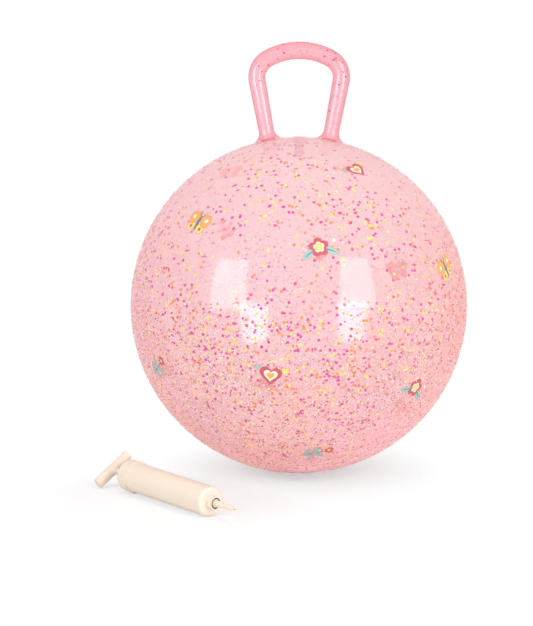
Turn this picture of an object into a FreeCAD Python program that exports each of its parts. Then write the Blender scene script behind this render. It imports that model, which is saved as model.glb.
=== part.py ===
import FreeCAD, Part
import math
import os
import re

import Sketcher

# A hopper ball that a child sits on, with its own hand pump lying beside it, in millimetres.
# Z points up. The origin is the middle of the flat patch on which the ball rests, and the
# carrying handle's loop lies in the XZ plane. Every pump piece is drawn along the pump's own
# axis, from the lip of the end cap at zero towards the nozzle, and then laid on the floor.

SIZES = {
    # Ball skin: one hollow moulding, pressed flat where it rests
    "ball_diameter": 450.0,
    "skin_wall": 1.2,
    "rest_patch_radius": 21.0,
    "port_bore_radius": 6.0,
    "port_collar_radius": 8.4,
    "port_collar_depth": 8.0,
    # Carrying handle: a hollow loop on two radial legs with flared feet. Its rise is that of the
    # bar's centreline over the ball's top
    "handle_rise": 113.0,
    "handle_bar_radius": 11.2,
    "handle_leg_radius": 10.1,
    "handle_wall": 2.0,
    "arch_radius": 86.0,
    "shoulder_radius": 28.0,
    "foot_half_spacing": 41.0,
    "foot_blend_radius": 12.5,
    "foot_rim_radius": 18.2,
    "foot_rim_thickness": 0.6,
    "weld_gap": 0.05,
    # Valve: a soft seat in the skin's port, closed by a pull-out plug whose head lies flush in it
    "seat_flange_radius": 8.6,
    "seat_flange_thickness": 0.4,
    "seat_body_length": 10.0,
    "sleeve_radius": 5.2,
    "sleeve_length": 27.0,
    "seat_bore_radius": 2.6,
    "seat_fit": 0.05,
    "plug_head_radius": 4.6,
    "plug_head_thickness": 1.5,
    "plug_head_round": 0.5,
    "plug_stem_length": 15.0,
    "plug_tip_radius": 1.6,
    "plug_tip_length": 3.0,
    "plug_clearance": 0.06,
    # Pump barrel: a slightly tapered tube with a closed nose and an outlet boss
    "barrel_length": 149.7,
    "barrel_rear_radius": 19.0,
    "barrel_nose_radius": 18.6,
    "barrel_bore_radius": 16.0,
    "nose_round": 4.0,
    "nose_wall": 4.0,
    "neck_radius": 17.7,
    "neck_length": 11.0,
    "boss_radius": 8.4,
    "boss_length": 8.3,
    "boss_bore_radius": 5.15,
    "air_hole_radius": 2.0,
    "valve_floor_rise": 1.5,
    # End cap: screwed over the neck, with a thin lip at its open edge
    "cap_radius": 20.3,
    "cap_length": 21.0,
    "cap_round": 6.5,
    "cap_end_wall": 2.6,
    "lip_radius": 20.9,
    "lip_length": 1.5,
    "thread_clearance": 0.05,
    "guide_gap": 0.1,
    "guide_rim_gap": 0.3,
    # Piston rod, and the piston on its end
    "rod_radius": 4.5,
    "rod_clearance": 0.1,
    "rod_spigot_radius": 2.8,
    "spigot_fit": 0.03,
    "piston_radius": 15.4,
    "piston_length": 16.0,
    "piston_recess_radius": 4.6,
    "piston_recess_depth": 3.0,
    "groove_radius": 12.6,
    "groove_length": 6.0,
    "groove_setback": 4.0,
    "seal_clearance": 0.05,
    "seal_end_gap": 0.1,
    "seal_lip_length": 2.0,
    "seal_lip_relief": 0.7,
    "pilot_radius": 1.2,
    "pilot_depth": 9.0,
    "screw_fit": 0.05,
    "screw_length": 8.0,
    "screw_head_radius": 3.6,
    "screw_head_height": 2.0,
    "end_gap": 1.0,
    # T-shaped grip, drawn out a little from the cap
    "grip_standoff": 33.3,
    "grip_radius": 7.1,
    "grip_length": 57.0,
    "grip_round": 1.2,
    "grip_hub_radius": 5.3,
    "grip_hub_length": 12.0,
    "grip_socket_depth": 9.0,
    "grip_fit": 0.03,
    "grip_floor_gap": 0.3,
    # Outlet: non-return disc, cage, sealing washer and tapered nozzle
    "disc_rim_gap": 0.4,
    "disc_thickness": 0.8,
    "disc_lift": 0.8,
    "cage_length": 1.6,
    "cage_bore_radius": 2.4,
    "washer_radius": 6.85,
    "washer_depth": 1.6,
    "nozzle_fit": 0.05,
    "nozzle_base_radius": 4.3,
    "nozzle_collar_length": 2.5,
    "nozzle_length": 35.2,
    "nozzle_tip_radius": 1.85,
    "nozzle_bore_radius": 1.1,
    # Where the pump lies: the floor point under the lip, and the turn of its axis
    "pump_place_x": -204.7,
    "pump_place_y": -143.9,
    "pump_turn_degrees": -48.0,
}

# Heights, radii and stations that follow from the sizes above
DERIVED = {
    "ball_radius": "ball_diameter / 2",
    "centre_height": "sqrt(ball_radius ^ 2 - rest_patch_radius ^ 2)",
    "port_edge_height": "centre_height + sqrt(ball_radius ^ 2 - port_bore_radius ^ 2)",
    "port_collar_bottom": "port_edge_height - port_collar_depth",
    "inner_radius": "ball_radius - skin_wall",
    "inner_patch_radius": "sqrt(inner_radius ^ 2 - (centre_height - skin_wall) ^ 2)",
    "collar_meets_wall": "centre_height + sqrt(inner_radius ^ 2 - port_collar_radius ^ 2)",
    "seat_top": "port_edge_height + seat_flange_thickness",
    "seat_body_radius": "port_bore_radius - seat_fit",
    "plug_stem_radius": "seat_bore_radius - plug_clearance",
    "plug_bottom": "seat_top - plug_stem_length",
    "plug_ledge": "seat_top - plug_head_thickness",
    "plug_recess_radius": "plug_head_radius + plug_clearance",
    "nose_start": "barrel_length - nose_round",
    "bore_end": "barrel_length - nose_wall",
    "boss_front": "barrel_length + boss_length",
    "valve_floor": "barrel_length + valve_floor_rise",
    "cage_floor": "valve_floor + disc_thickness + disc_lift",
    "nozzle_seat": "cage_floor + cage_length",
    "nozzle_tip": "boss_front + nozzle_length",
    "cap_inner_end": "cap_end_wall - cap_length",
    "rod_hole_radius": "rod_radius + rod_clearance",
    "grip_axis": "0 - cap_length - grip_standoff",
    "push_in": "grip_standoff - grip_hub_length - end_gap",
    "piston_front": "bore_end - end_gap - push_in",
    "piston_rear": "piston_front - piston_length",
    "spigot_end": "piston_front - piston_recess_depth",
    "groove_front": "piston_front - groove_setback",
    "groove_rear": "groove_front - groove_length",
    "seal_inner_radius": "groove_radius + seal_clearance",
    "seal_outer_radius": "barrel_bore_radius - seal_clearance",
    "seal_rear": "groove_rear + seal_end_gap",
    "seal_front": "groove_front - seal_end_gap",
    "rod_start": "grip_axis + grip_hub_length - grip_socket_depth",
    # The legs lie on lines through the ball's centre. A shoulder touches its leg's line, and
    # touches the arch from inside: the leg ends where both hold
    "leg_lean": "asin(foot_half_spacing / ball_radius)",
    "arch_distance": "ball_radius + handle_rise - arch_radius",
    "leg_end": "arch_distance * cos(leg_lean) + sqrt((arch_radius - shoulder_radius) ^ 2"
               " - (shoulder_radius - arch_distance * sin(leg_lean)) ^ 2)",
    "foot_seat_radius": "ball_radius + weld_gap",
    "foot_seat_height": "sqrt(foot_seat_radius ^ 2 - foot_rim_radius ^ 2)",
    "foot_bore_height": "sqrt(foot_seat_radius ^ 2 - (handle_leg_radius - handle_wall) ^ 2)",
    "foot_rim_height": "foot_seat_height + foot_rim_thickness",
    "foot_blend_sweep": "acos(1 - (foot_rim_radius - handle_leg_radius) / foot_blend_radius)",
    "blend_top": "foot_rim_height + foot_blend_radius * sin(foot_blend_sweep)",
}

document = FreeCAD.newDocument("hopper_ball")
sheet = document.addObject("Spreadsheet::Sheet", "Sizes")
for row, (alias, value) in enumerate(SIZES.items(), start=1):
    sheet.set(f"A{row}", alias)
    sheet.set(f"B{row}", str(value))
    sheet.setAlias(f"B{row}", alias)
document.recompute()

SIZE_WORD = re.compile(r"\b(" + "|".join(SIZES) + r")\b")
DERIVED_WORD = re.compile(r"\b(" + "|".join(DERIVED) + r")\b")


def linked(text):
    """An expression on the sheet's cells, with every derived name written out."""
    while DERIVED_WORD.search(text):
        text = DERIVED_WORD.sub(lambda word: "(" + DERIVED[word[0]] + ")", text)
    return SIZE_WORD.sub(lambda word: "Sizes." + word[0], text)


def number(text):
    """What an expression on the sheet comes to, in millimetres or degrees."""
    value = sheet.evalExpression(linked(text))
    return float(getattr(value, "Value", value))


def new_body(name):
    piece = document.addObject("PartDesign::Body", name)
    piece.Label = name
    return piece


def arc_between(start, end, radius):
    """The arc of under half a circle that turns left from start to end."""
    chord = end - start
    middle = (start + end) * 0.5
    rise = math.sqrt(max(radius * radius - (chord.Length / 2) ** 2, 0.0))
    left = FreeCAD.Vector(-chord.y, chord.x, 0).normalize()
    centre = middle + left * rise
    first = math.atan2(start.y - centre.y, start.x - centre.x)
    last = math.atan2(end.y - centre.y, end.x - centre.x)
    circle = Part.Circle(centre, FreeCAD.Vector(0, 0, 1), radius)
    return Part.ArcOfCircle(circle, first, last)


def hold(sketch, edge, end, kind, text, axis):
    """Ties one coordinate of a point to an expression, or puts the point on an axis if it is zero."""
    if text == "0":
        sketch.addConstraint(Sketcher.Constraint("PointOnObject", edge, end, axis))
        return
    tie = sketch.addConstraint(Sketcher.Constraint(kind, -1, 1, edge, end, number(text)))
    sketch.setExpression(f"Constraints[{tie}]", linked(text))


def outline_sketch(piece, name, outline):
    """A closed outline in the XZ plane, whose corners are (radius, station) expressions.

    A third entry makes the edge that arrives at the corner an arc of that radius. It turns
    left, or right where a fourth entry says so.
    """
    sketch = piece.newObject("Sketcher::SketchObject", name)
    upright = next(part for part in piece.Origin.OriginFeatures if part.Role == "XZ_Plane")
    sketch.AttachmentSupport = [(upright, "")]
    sketch.MapMode = "FlatFace"
    corners = [FreeCAD.Vector(number(corner[0]), number(corner[1]), 0) for corner in outline]
    edges = []
    for index, corner in enumerate(outline):
        before, here = corners[index - 1], corners[index]
        if len(corner) == 2:
            edge = sketch.addGeometry(Part.LineSegment(before, here))
            edges.append((edge, 1, 2))
            continue
        turns_right = len(corner) == 4
        start, end = (here, before) if turns_right else (before, here)
        edge = sketch.addGeometry(arc_between(start, end, number(corner[2])))
        edges.append((edge, 2, 1) if turns_right else (edge, 1, 2))
    for index, (edge, _, end) in enumerate(edges):
        following, start, _ = edges[(index + 1) % len(edges)]
        sketch.addConstraint(Sketcher.Constraint("Coincident", edge, end, following, start))
        hold(sketch, edge, end, "DistanceX", outline[index][0], -2)
        hold(sketch, edge, end, "DistanceY", outline[index][1], -1)
        if len(outline[index]) > 2:
            radius = outline[index][2]
            tie = sketch.addConstraint(Sketcher.Constraint("Radius", edge, number(radius)))
            sketch.setExpression(f"Constraints[{tie}]", linked(radius))
    return sketch


def turn(piece, sketch, axis="V_Axis", kind="PartDesign::Revolution"):
    """Turns a sketch's outline through a full circle, adding material or, as a groove, cutting it."""
    feature = piece.newObject(kind, sketch.Name + "_turned")
    feature.Profile = sketch
    feature.ReferenceAxis = (sketch, [axis])
    feature.Angle = 360
    return feature


def turned_piece(name, outline):
    """A piece that is one outline turned about the Z axis of its own body."""
    piece = new_body(name)
    turn(piece, outline_sketch(piece, name + "_outline", outline))
    return piece


def ring(name, inner, outer, rear, front):
    """A plain ring or, with an inner radius of zero, a disc."""
    return turned_piece(name, [(inner, rear), (outer, rear), (outer, front), (inner, front)])


def ball_skin():
    """The hollow ball: outer arc, valve port with its inward collar, inner arc and flat patch."""
    return turned_piece("ball_skin", [
        ("0", "0"),
        ("rest_patch_radius", "0"),
        ("port_bore_radius", "port_edge_height", "ball_radius"),
        ("port_bore_radius", "port_collar_bottom"),
        ("port_collar_radius", "port_collar_bottom"),
        ("port_collar_radius", "collar_meets_wall"),
        ("inner_patch_radius", "skin_wall", "inner_radius", "right"),
        ("0", "skin_wall"),
    ])


def valve_seat():
    """A thin-flanged bush, recessed for the plug's head, with a sleeve that hangs in the ball."""
    seat_body_bottom = "port_edge_height - seat_body_length"
    sleeve_bottom = "seat_top - sleeve_length"
    return turned_piece("valve_seat", [
        ("seat_bore_radius", sleeve_bottom),
        ("sleeve_radius", sleeve_bottom),
        ("sleeve_radius", seat_body_bottom),
        ("seat_body_radius", seat_body_bottom),
        ("seat_body_radius", "port_edge_height"),
        ("seat_flange_radius", "port_edge_height"),
        ("seat_flange_radius", "seat_top"),
        ("plug_recess_radius", "seat_top"),
        ("plug_recess_radius", "plug_ledge"),
        ("seat_bore_radius", "plug_ledge"),
    ])


def valve_plug():
    """A stem with a tapered tip under a flat round head."""
    return turned_piece("valve_plug", [
        ("0", "plug_bottom"),
        ("plug_tip_radius", "plug_bottom"),
        ("plug_stem_radius", "plug_bottom + plug_tip_length"),
        ("plug_stem_radius", "plug_ledge"),
        ("plug_head_radius", "plug_ledge"),
        ("plug_head_radius", "seat_top - plug_head_round"),
        ("plug_head_radius - plug_head_round", "seat_top", "plug_head_round"),
        ("0", "seat_top"),
    ])


BALL_CENTRE = FreeCAD.Vector(0, 0, number("centre_height"))
ARCH_CENTRE = BALL_CENTRE + FreeCAD.Vector(0, 0, number("arch_distance"))
LEG_LEAN = math.radians(number("leg_lean"))


def in_loop_plane(angle):
    """The unit vector in the XZ plane at an angle from straight up, towards +X."""
    return FreeCAD.Vector(math.sin(angle), 0, math.cos(angle))


SHOULDER = (BALL_CENTRE + in_loop_plane(LEG_LEAN) * number("leg_end")
            + in_loop_plane(LEG_LEAN - math.pi / 2) * number("shoulder_radius"))
SHOULDER_ANGLE = math.atan2(SHOULDER.x, SHOULDER.z - ARCH_CENTRE.z)


def torus_piece(name, centre, bend_radius, tube_radius, start, sweep):
    """A bent rod in the loop's plane, from an angle start through an angle sweep."""
    piece = document.addObject("Part::Torus", name)
    piece.setExpression("Radius1", linked(bend_radius))
    piece.setExpression("Radius2", linked(tube_radius))
    piece.Angle3 = math.degrees(sweep)
    across = FreeCAD.Vector(0, 1, 0)
    first = in_loop_plane(start)
    turning = FreeCAD.Rotation(first, across.cross(first), across, "ZXY")
    piece.Placement = FreeCAD.Placement(centre, turning)
    return piece


def bent_tube(name, centre, bend_radius, start, sweep):
    """A bent stretch of the handle's bar, with its bore."""
    piece = document.addObject("Part::Cut", name)
    piece.Base = torus_piece(name + "_outside", centre, bend_radius, "handle_bar_radius",
                             start, sweep)
    piece.Tool = torus_piece(name + "_bore", centre, bend_radius,
                             "handle_bar_radius - handle_wall", start, sweep)
    return piece


def handle_leg(side, word):
    """A tapered tube with a flared foot that stands on the skin, turned about its own axis.

    The axis passes through the ball's centre, so the foot's seat is an arc about that centre.
    """
    piece = turned_piece(f"{word}_leg", [
        ("handle_leg_radius - handle_wall", "foot_bore_height"),
        ("foot_rim_radius", "foot_seat_height", "foot_seat_radius", "right"),
        ("foot_rim_radius", "foot_rim_height"),
        ("handle_leg_radius", "blend_top", "foot_blend_radius", "right"),
        ("handle_bar_radius", "leg_end"),
        ("handle_bar_radius - handle_wall", "leg_end"),
    ])
    lean = FreeCAD.Rotation(FreeCAD.Vector(0, 1, 0), side * number("leg_lean"))
    piece.Placement = FreeCAD.Placement(BALL_CENTRE, lean)
    return piece


def grab_handle():
    """The hollow loop: an arch, two shoulders and two legs with flared feet, as one moulding."""
    sweep = math.pi / 2 + LEG_LEAN - SHOULDER_ANGLE
    right, left = SHOULDER, FreeCAD.Vector(-SHOULDER.x, 0, SHOULDER.z)
    piece = document.addObject("Part::MultiFuse", "grab_handle")
    piece.Shapes = [
        handle_leg(1, "right"),
        bent_tube("right_shoulder", right, "shoulder_radius", SHOULDER_ANGLE, sweep),
        bent_tube("arch", ARCH_CENTRE, "arch_radius", -SHOULDER_ANGLE, 2 * SHOULDER_ANGLE),
        bent_tube("left_shoulder", left, "shoulder_radius", -SHOULDER_ANGLE - sweep, sweep),
        handle_leg(-1, "left"),
    ]
    piece.Label = "grab_handle"
    return piece


def pump_barrel():
    """Neck, tapered wall, rounded nose, outlet boss, stepped outlet and main bore."""
    return turned_piece("pump_barrel", [
        ("barrel_bore_radius", "0 - neck_length"),
        ("neck_radius", "0 - neck_length"),
        ("neck_radius", "0"),
        ("barrel_rear_radius", "0"),
        ("barrel_nose_radius", "nose_start"),
        ("barrel_nose_radius - nose_round", "barrel_length", "nose_round"),
        ("boss_radius", "barrel_length"),
        ("boss_radius", "boss_front"),
        ("washer_radius", "boss_front"),
        ("washer_radius", "boss_front - washer_depth"),
        ("boss_bore_radius", "boss_front - washer_depth"),
        ("boss_bore_radius", "valve_floor"),
        ("air_hole_radius", "valve_floor"),
        ("air_hole_radius", "bore_end"),
        ("barrel_bore_radius", "bore_end"),
    ])


def pump_end_cap():
    """A domed cap with a thin lip, bored for the neck and for the rod."""
    return turned_piece("pump_end_cap", [
        ("rod_hole_radius", "0 - cap_length"),
        ("cap_radius - cap_round", "0 - cap_length"),
        ("cap_radius", "cap_round - cap_length", "cap_round"),
        ("cap_radius", "0 - lip_length"),
        ("lip_radius", "0 - lip_length"),
        ("lip_radius", "0"),
        ("neck_radius + thread_clearance", "0"),
        ("neck_radius + thread_clearance", "cap_inner_end"),
        ("rod_hole_radius", "cap_inner_end"),
    ])


def pump_rod():
    """A round rod with a thinner spigot for the piston and a pilot hole for its screw."""
    return turned_piece("pump_rod", [
        ("0", "rod_start"),
        ("rod_radius", "rod_start"),
        ("rod_radius", "piston_rear"),
        ("rod_spigot_radius", "piston_rear"),
        ("rod_spigot_radius", "spigot_end"),
        ("pilot_radius", "spigot_end"),
        ("pilot_radius", "spigot_end - pilot_depth"),
        ("0", "spigot_end - pilot_depth"),
    ])


def piston_head():
    """Two flanges with a groove for the seal, on the rod's spigot, recessed for the screw."""
    return turned_piece("piston_head", [
        ("rod_spigot_radius + spigot_fit", "piston_rear"),
        ("piston_radius", "piston_rear"),
        ("piston_radius", "groove_rear"),
        ("groove_radius", "groove_rear"),
        ("groove_radius", "groove_front"),
        ("piston_radius", "groove_front"),
        ("piston_radius", "piston_front"),
        ("piston_recess_radius", "piston_front"),
        ("piston_recess_radius", "spigot_end"),
        ("rod_spigot_radius + spigot_fit", "spigot_end"),
    ])


def piston_seal():
    """A soft ring with a lip that runs in the bore. The piston can turn inside it."""
    return turned_piece("piston_seal", [
        ("seal_inner_radius", "seal_rear"),
        ("seal_outer_radius - seal_lip_relief", "seal_rear"),
        ("seal_outer_radius", "seal_front - seal_lip_length"),
        ("seal_outer_radius", "seal_front"),
        ("seal_inner_radius", "seal_front"),
    ])


def piston_screw():
    """A round-headed screw in the rod's pilot hole."""
    return turned_piece("piston_screw", [
        ("0", "spigot_end - screw_length"),
        ("pilot_radius - screw_fit", "spigot_end - screw_length"),
        ("pilot_radius - screw_fit", "spigot_end"),
        ("screw_head_radius", "spigot_end"),
        ("screw_head_radius", "spigot_end + screw_head_height"),
        ("0", "spigot_end + screw_head_height"),
    ])


def nozzle():
    """A spigot in the boss, a short collar and a long taper with the air hole at its tip."""
    return turned_piece("nozzle", [
        ("nozzle_bore_radius", "nozzle_seat"),
        ("boss_bore_radius - nozzle_fit", "nozzle_seat"),
        ("boss_bore_radius - nozzle_fit", "boss_front"),
        ("nozzle_base_radius", "boss_front"),
        ("nozzle_base_radius", "boss_front + nozzle_collar_length"),
        ("nozzle_tip_radius", "nozzle_tip"),
        ("nozzle_bore_radius", "nozzle_tip"),
    ])


def pump_grip():
    """A round bar across the rod, with a hub and a socket that takes the rod's end."""
    piece = new_body("pump_grip")
    bar = outline_sketch(piece, "grip_bar", [
        ("grip_length / 2", "0"),
        ("grip_length / 2", "grip_radius - grip_round"),
        ("grip_length / 2 - grip_round", "grip_radius", "grip_round"),
        ("grip_round - grip_length / 2", "grip_radius"),
        ("0 - grip_length / 2", "grip_radius - grip_round", "grip_round"),
        ("0 - grip_length / 2", "0"),
    ])
    turn(piece, bar, "H_Axis")
    hub = outline_sketch(piece, "grip_hub", [
        ("0", "0"),
        ("grip_hub_radius", "0"),
        ("grip_hub_radius", "grip_hub_length"),
        ("0", "grip_hub_length"),
    ])
    turn(piece, hub)
    document.recompute()
    before = piece.Shape.Volume
    socket = outline_sketch(piece, "grip_socket", [
        ("0", "grip_hub_length - grip_socket_depth"),
        ("rod_radius + grip_fit", "grip_hub_length - grip_socket_depth"),
        ("rod_radius + grip_fit", "grip_hub_length"),
        ("0", "grip_hub_length"),
    ])
    turn(piece, socket, kind="PartDesign::Groove")
    document.recompute()
    assert piece.Shape.Volume < before, "the rod's socket cuts nothing"
    return piece


def pump_frame():
    """The pump's own frame as it lies: Z along the axis to the nozzle, Y up, on lip and nose."""
    turned = math.radians(number("pump_turn_degrees"))
    dip = math.asin(number("lip_radius - barrel_nose_radius") / number("nose_start"))
    level = FreeCAD.Vector(math.cos(turned), math.sin(turned), 0)
    up = FreeCAD.Vector(0, 0, 1)
    axis = level * math.cos(dip) - up * math.sin(dip)
    above = up * math.cos(dip) + level * math.sin(dip)
    place = FreeCAD.Vector(number("pump_place_x"), number("pump_place_y"), 0)
    lip_centre = place + above * number("lip_radius")
    return FreeCAD.Placement(lip_centre, FreeCAD.Rotation(above.cross(axis), above, axis, "ZXY"))


def grip_roll(frame):
    """The turn about the pump's axis, in radians, that lays one end of the grip on the floor.

    The bar's end is a disc: its lowest point is half a length and one radius from the axis.
    """
    height = (frame.multVec(FreeCAD.Vector(0, 0, number("grip_axis")))).z - number("grip_floor_gap")
    half, radius = number("grip_length / 2"), number("grip_radius")
    from_upright = math.atan2(radius, half) + math.acos(height / math.hypot(half, radius))
    return math.pi / 2 - from_upright


ball_pieces = [ball_skin(), grab_handle(), valve_seat(), valve_plug()]
pump_pieces = [
    pump_barrel(),
    pump_end_cap(),
    ring("rod_guide", "rod_hole_radius", "neck_radius - guide_rim_gap",
         "cap_inner_end + guide_gap", "0 - neck_length - guide_gap"),
    pump_rod(),
    piston_head(),
    piston_seal(),
    piston_screw(),
    ring("check_valve_disc", "0", "boss_bore_radius - disc_rim_gap",
         "valve_floor", "valve_floor + disc_thickness"),
    ring("valve_cage", "cage_bore_radius", "boss_bore_radius - nozzle_fit",
         "cage_floor", "nozzle_seat"),
    ring("nozzle_washer", "boss_bore_radius", "washer_radius - nozzle_fit",
         "boss_front - washer_depth", "boss_front"),
    nozzle(),
]
grip = pump_grip()

frame = pump_frame()
for piece in pump_pieces:
    piece.Placement = frame
roll = FreeCAD.Rotation(FreeCAD.Vector(0, 0, 1), math.degrees(grip_roll(frame)))
grip.Placement = frame * FreeCAD.Placement(FreeCAD.Vector(0, 0, number("grip_axis")), roll)
pieces = ball_pieces + pump_pieces + [grip]

document.recompute()
for item in document.Objects:
    if "Invalid" in item.State or "Error" in item.State:
        raise RuntimeError(f"{item.Name} failed: {item.State}")
for piece in pieces:
    if piece.Shape.isNull() or not piece.Shape.isValid() or piece.Shape.Volume <= 0:
        raise RuntimeError(f"{piece.Label} has no sound shape")

os.makedirs("parts", exist_ok=True)
for piece in pieces:
    piece.Shape.exportStep(f"parts/{piece.Label}.step")
    box = piece.Shape.BoundBox
    print(f"{piece.Label:18s} {piece.Shape.Volume / 1000:9.2f} cm3, "
          f"x {box.XMin:.1f} to {box.XMax:.1f}, y {box.YMin:.1f} to {box.YMax:.1f}, "
          f"z {box.ZMin:.2f} to {box.ZMax:.1f}")

pull = frame.Rotation.multVec(FreeCAD.Vector(0, 0, -1))
print(f"pump axis passes {frame.Base}, pull direction {pull}")
print(f"push in {number('push_in'):.1f}, "
      f"draw out {number('piston_rear + neck_length - guide_gap - end_gap'):.1f}")
print(f"ball centre at {BALL_CENTRE.z:.3f}, arch centre at {ARCH_CENTRE.z:.3f}, "
      f"leg lean {number('leg_lean'):.3f} degrees, shoulder at {SHOULDER}, "
      f"leg ends {number('leg_end'):.3f} from the ball's centre")
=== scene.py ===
# %% [markdown]
# # A hopper ball and its hand pump
# The real object is a soft, see-through pink ball of about 45 cm, full of paper-thin confetti and
# fine glitter, with a hollow loop to hold on to while bouncing. A cream hand pump lies beside it.
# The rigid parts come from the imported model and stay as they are. This file dresses them: it
# replaces the two clear vinyl mouldings by finer surfaces, adds the confetti, the glitter and
# the printed motifs, and gives every part its finish.

# %% Load the frame
import math

import bmesh
import bpy
import numpy as np
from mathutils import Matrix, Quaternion, Vector


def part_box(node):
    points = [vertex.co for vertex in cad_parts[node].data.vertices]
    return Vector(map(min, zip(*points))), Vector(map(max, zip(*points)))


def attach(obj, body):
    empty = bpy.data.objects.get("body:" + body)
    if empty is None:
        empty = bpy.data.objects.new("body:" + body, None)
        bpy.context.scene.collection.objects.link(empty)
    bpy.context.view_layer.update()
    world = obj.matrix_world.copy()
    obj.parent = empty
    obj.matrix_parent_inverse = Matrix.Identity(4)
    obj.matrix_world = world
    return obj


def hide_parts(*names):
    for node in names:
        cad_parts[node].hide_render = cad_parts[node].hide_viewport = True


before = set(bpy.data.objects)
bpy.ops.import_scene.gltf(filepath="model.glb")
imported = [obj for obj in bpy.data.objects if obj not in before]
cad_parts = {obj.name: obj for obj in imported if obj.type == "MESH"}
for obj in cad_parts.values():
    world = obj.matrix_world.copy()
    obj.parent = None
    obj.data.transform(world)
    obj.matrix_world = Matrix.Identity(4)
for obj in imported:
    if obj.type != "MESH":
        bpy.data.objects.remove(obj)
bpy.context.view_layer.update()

MM = 0.001
print("nodes of the frame:", ", ".join(sorted(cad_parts)))

# %% [markdown]
# ## Measures of the ball
# The frame gives each part's box, so most places are read from there: the ball's radius is half
# its width, and it stands on a small flat patch, so its middle is a little lower than a radius.
# Only what a box can't tell, such as a bend's radius, is written here as a real size.

# %% Measures
skin_low, skin_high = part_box("ball_skin")
BALL_RADIUS = (skin_high.x - skin_low.x) / 2
SKIN_WALL = 1.2 * MM
REST_PATCH_RADIUS = 21.0 * MM
PORT_RADIUS = 6.0 * MM
PORT_COLLAR_RADIUS = 8.4 * MM
PORT_COLLAR_DEPTH = 8.0 * MM
INNER_RADIUS = BALL_RADIUS - SKIN_WALL
CENTRE_HEIGHT = math.sqrt(BALL_RADIUS**2 - REST_PATCH_RADIUS**2)
CENTRE = np.array([0.0, 0.0, CENTRE_HEIGHT])
CROWN = CENTRE_HEIGHT + BALL_RADIUS
print(f"ball radius {BALL_RADIUS:.4f} m, centre {CENTRE_HEIGHT:.4f} m above the floor")

# %% [markdown]
# ## Camera
# A photograph is matched by three things: how far away the camera stands, how high, and how long
# its lens is. The camera is aimed a little beside the ball, as in the picture, instead of
# shifting the lens.

# %% Camera
CAMERA_DISTANCE = 2.2
CAMERA_ELEVATION = math.radians(7.77)
SENSOR = 36.0
LENS = 94.14
AIM_BESIDE = -43.0 * MM
AIM_BELOW = -10.8 * MM
CLEAR_WALLS_IN_LINE = 24

camera_data = bpy.data.cameras.new("camera")
camera_data.sensor_width = SENSOR
camera_data.lens = LENS
camera = bpy.data.objects.new("camera", camera_data)
bpy.context.scene.collection.objects.link(camera)
bpy.context.scene.camera = camera
camera.location = Vector(CENTRE) + CAMERA_DISTANCE * Vector(
    (0, -math.cos(CAMERA_ELEVATION), math.sin(CAMERA_ELEVATION)))
aim = Vector(CENTRE) + Vector((AIM_BESIDE, 0, AIM_BELOW))
camera.rotation_mode = "QUATERNION"
camera.rotation_quaternion = (aim - camera.location).to_track_quat("-Z", "Y")
bpy.context.scene.view_settings.view_transform = "Standard"
bpy.context.scene.cycles.transparent_max_bounces = CLEAR_WALLS_IN_LINE
print("camera at", tuple(round(value, 3) for value in camera.location))

# %% [markdown]
# ## Shader maths as plain expressions
# A finish is a small sum: so much dye, so much gloss, a speck here and none there. Nodes for each
# plus and times make such a sum hard to read. A thin class round a socket lets Python's own signs
# add the nodes, so the sums below read like sums. Blender starts the name of each kind of node
# with ShaderNode, which is left out here.

# %% A socket that can be reckoned with
class Field:
    """A node's output. Python's operators on it add Math nodes to the same tree."""

    def __init__(self, finish, socket):
        self.finish, self.socket = finish, socket

    def maths(self, operation, *terms):
        return self.finish.node("Math", {"operation": operation}, dict(enumerate(terms)))

    def clipped(self, least=0.0, most=1.0):
        return self.at_least(least).at_most(most)


def method_for(operation, swapped=False):
    """A method that reckons with a field and another term, or the other way round."""
    if swapped:
        return lambda field, other: field.maths(operation, other, field)
    return lambda field, other: field.maths(operation, field, other)


for word, operation in (("add", "ADD"), ("sub", "SUBTRACT"), ("mul", "MULTIPLY"),
                        ("truediv", "DIVIDE"), ("pow", "POWER")):
    setattr(Field, f"__{word}__", method_for(operation))
    setattr(Field, f"__r{word}__", method_for(operation, swapped=True))
Field.__lt__ = method_for("LESS_THAN")
Field.at_least = method_for("MAXIMUM")
Field.at_most = method_for("MINIMUM")


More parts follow.
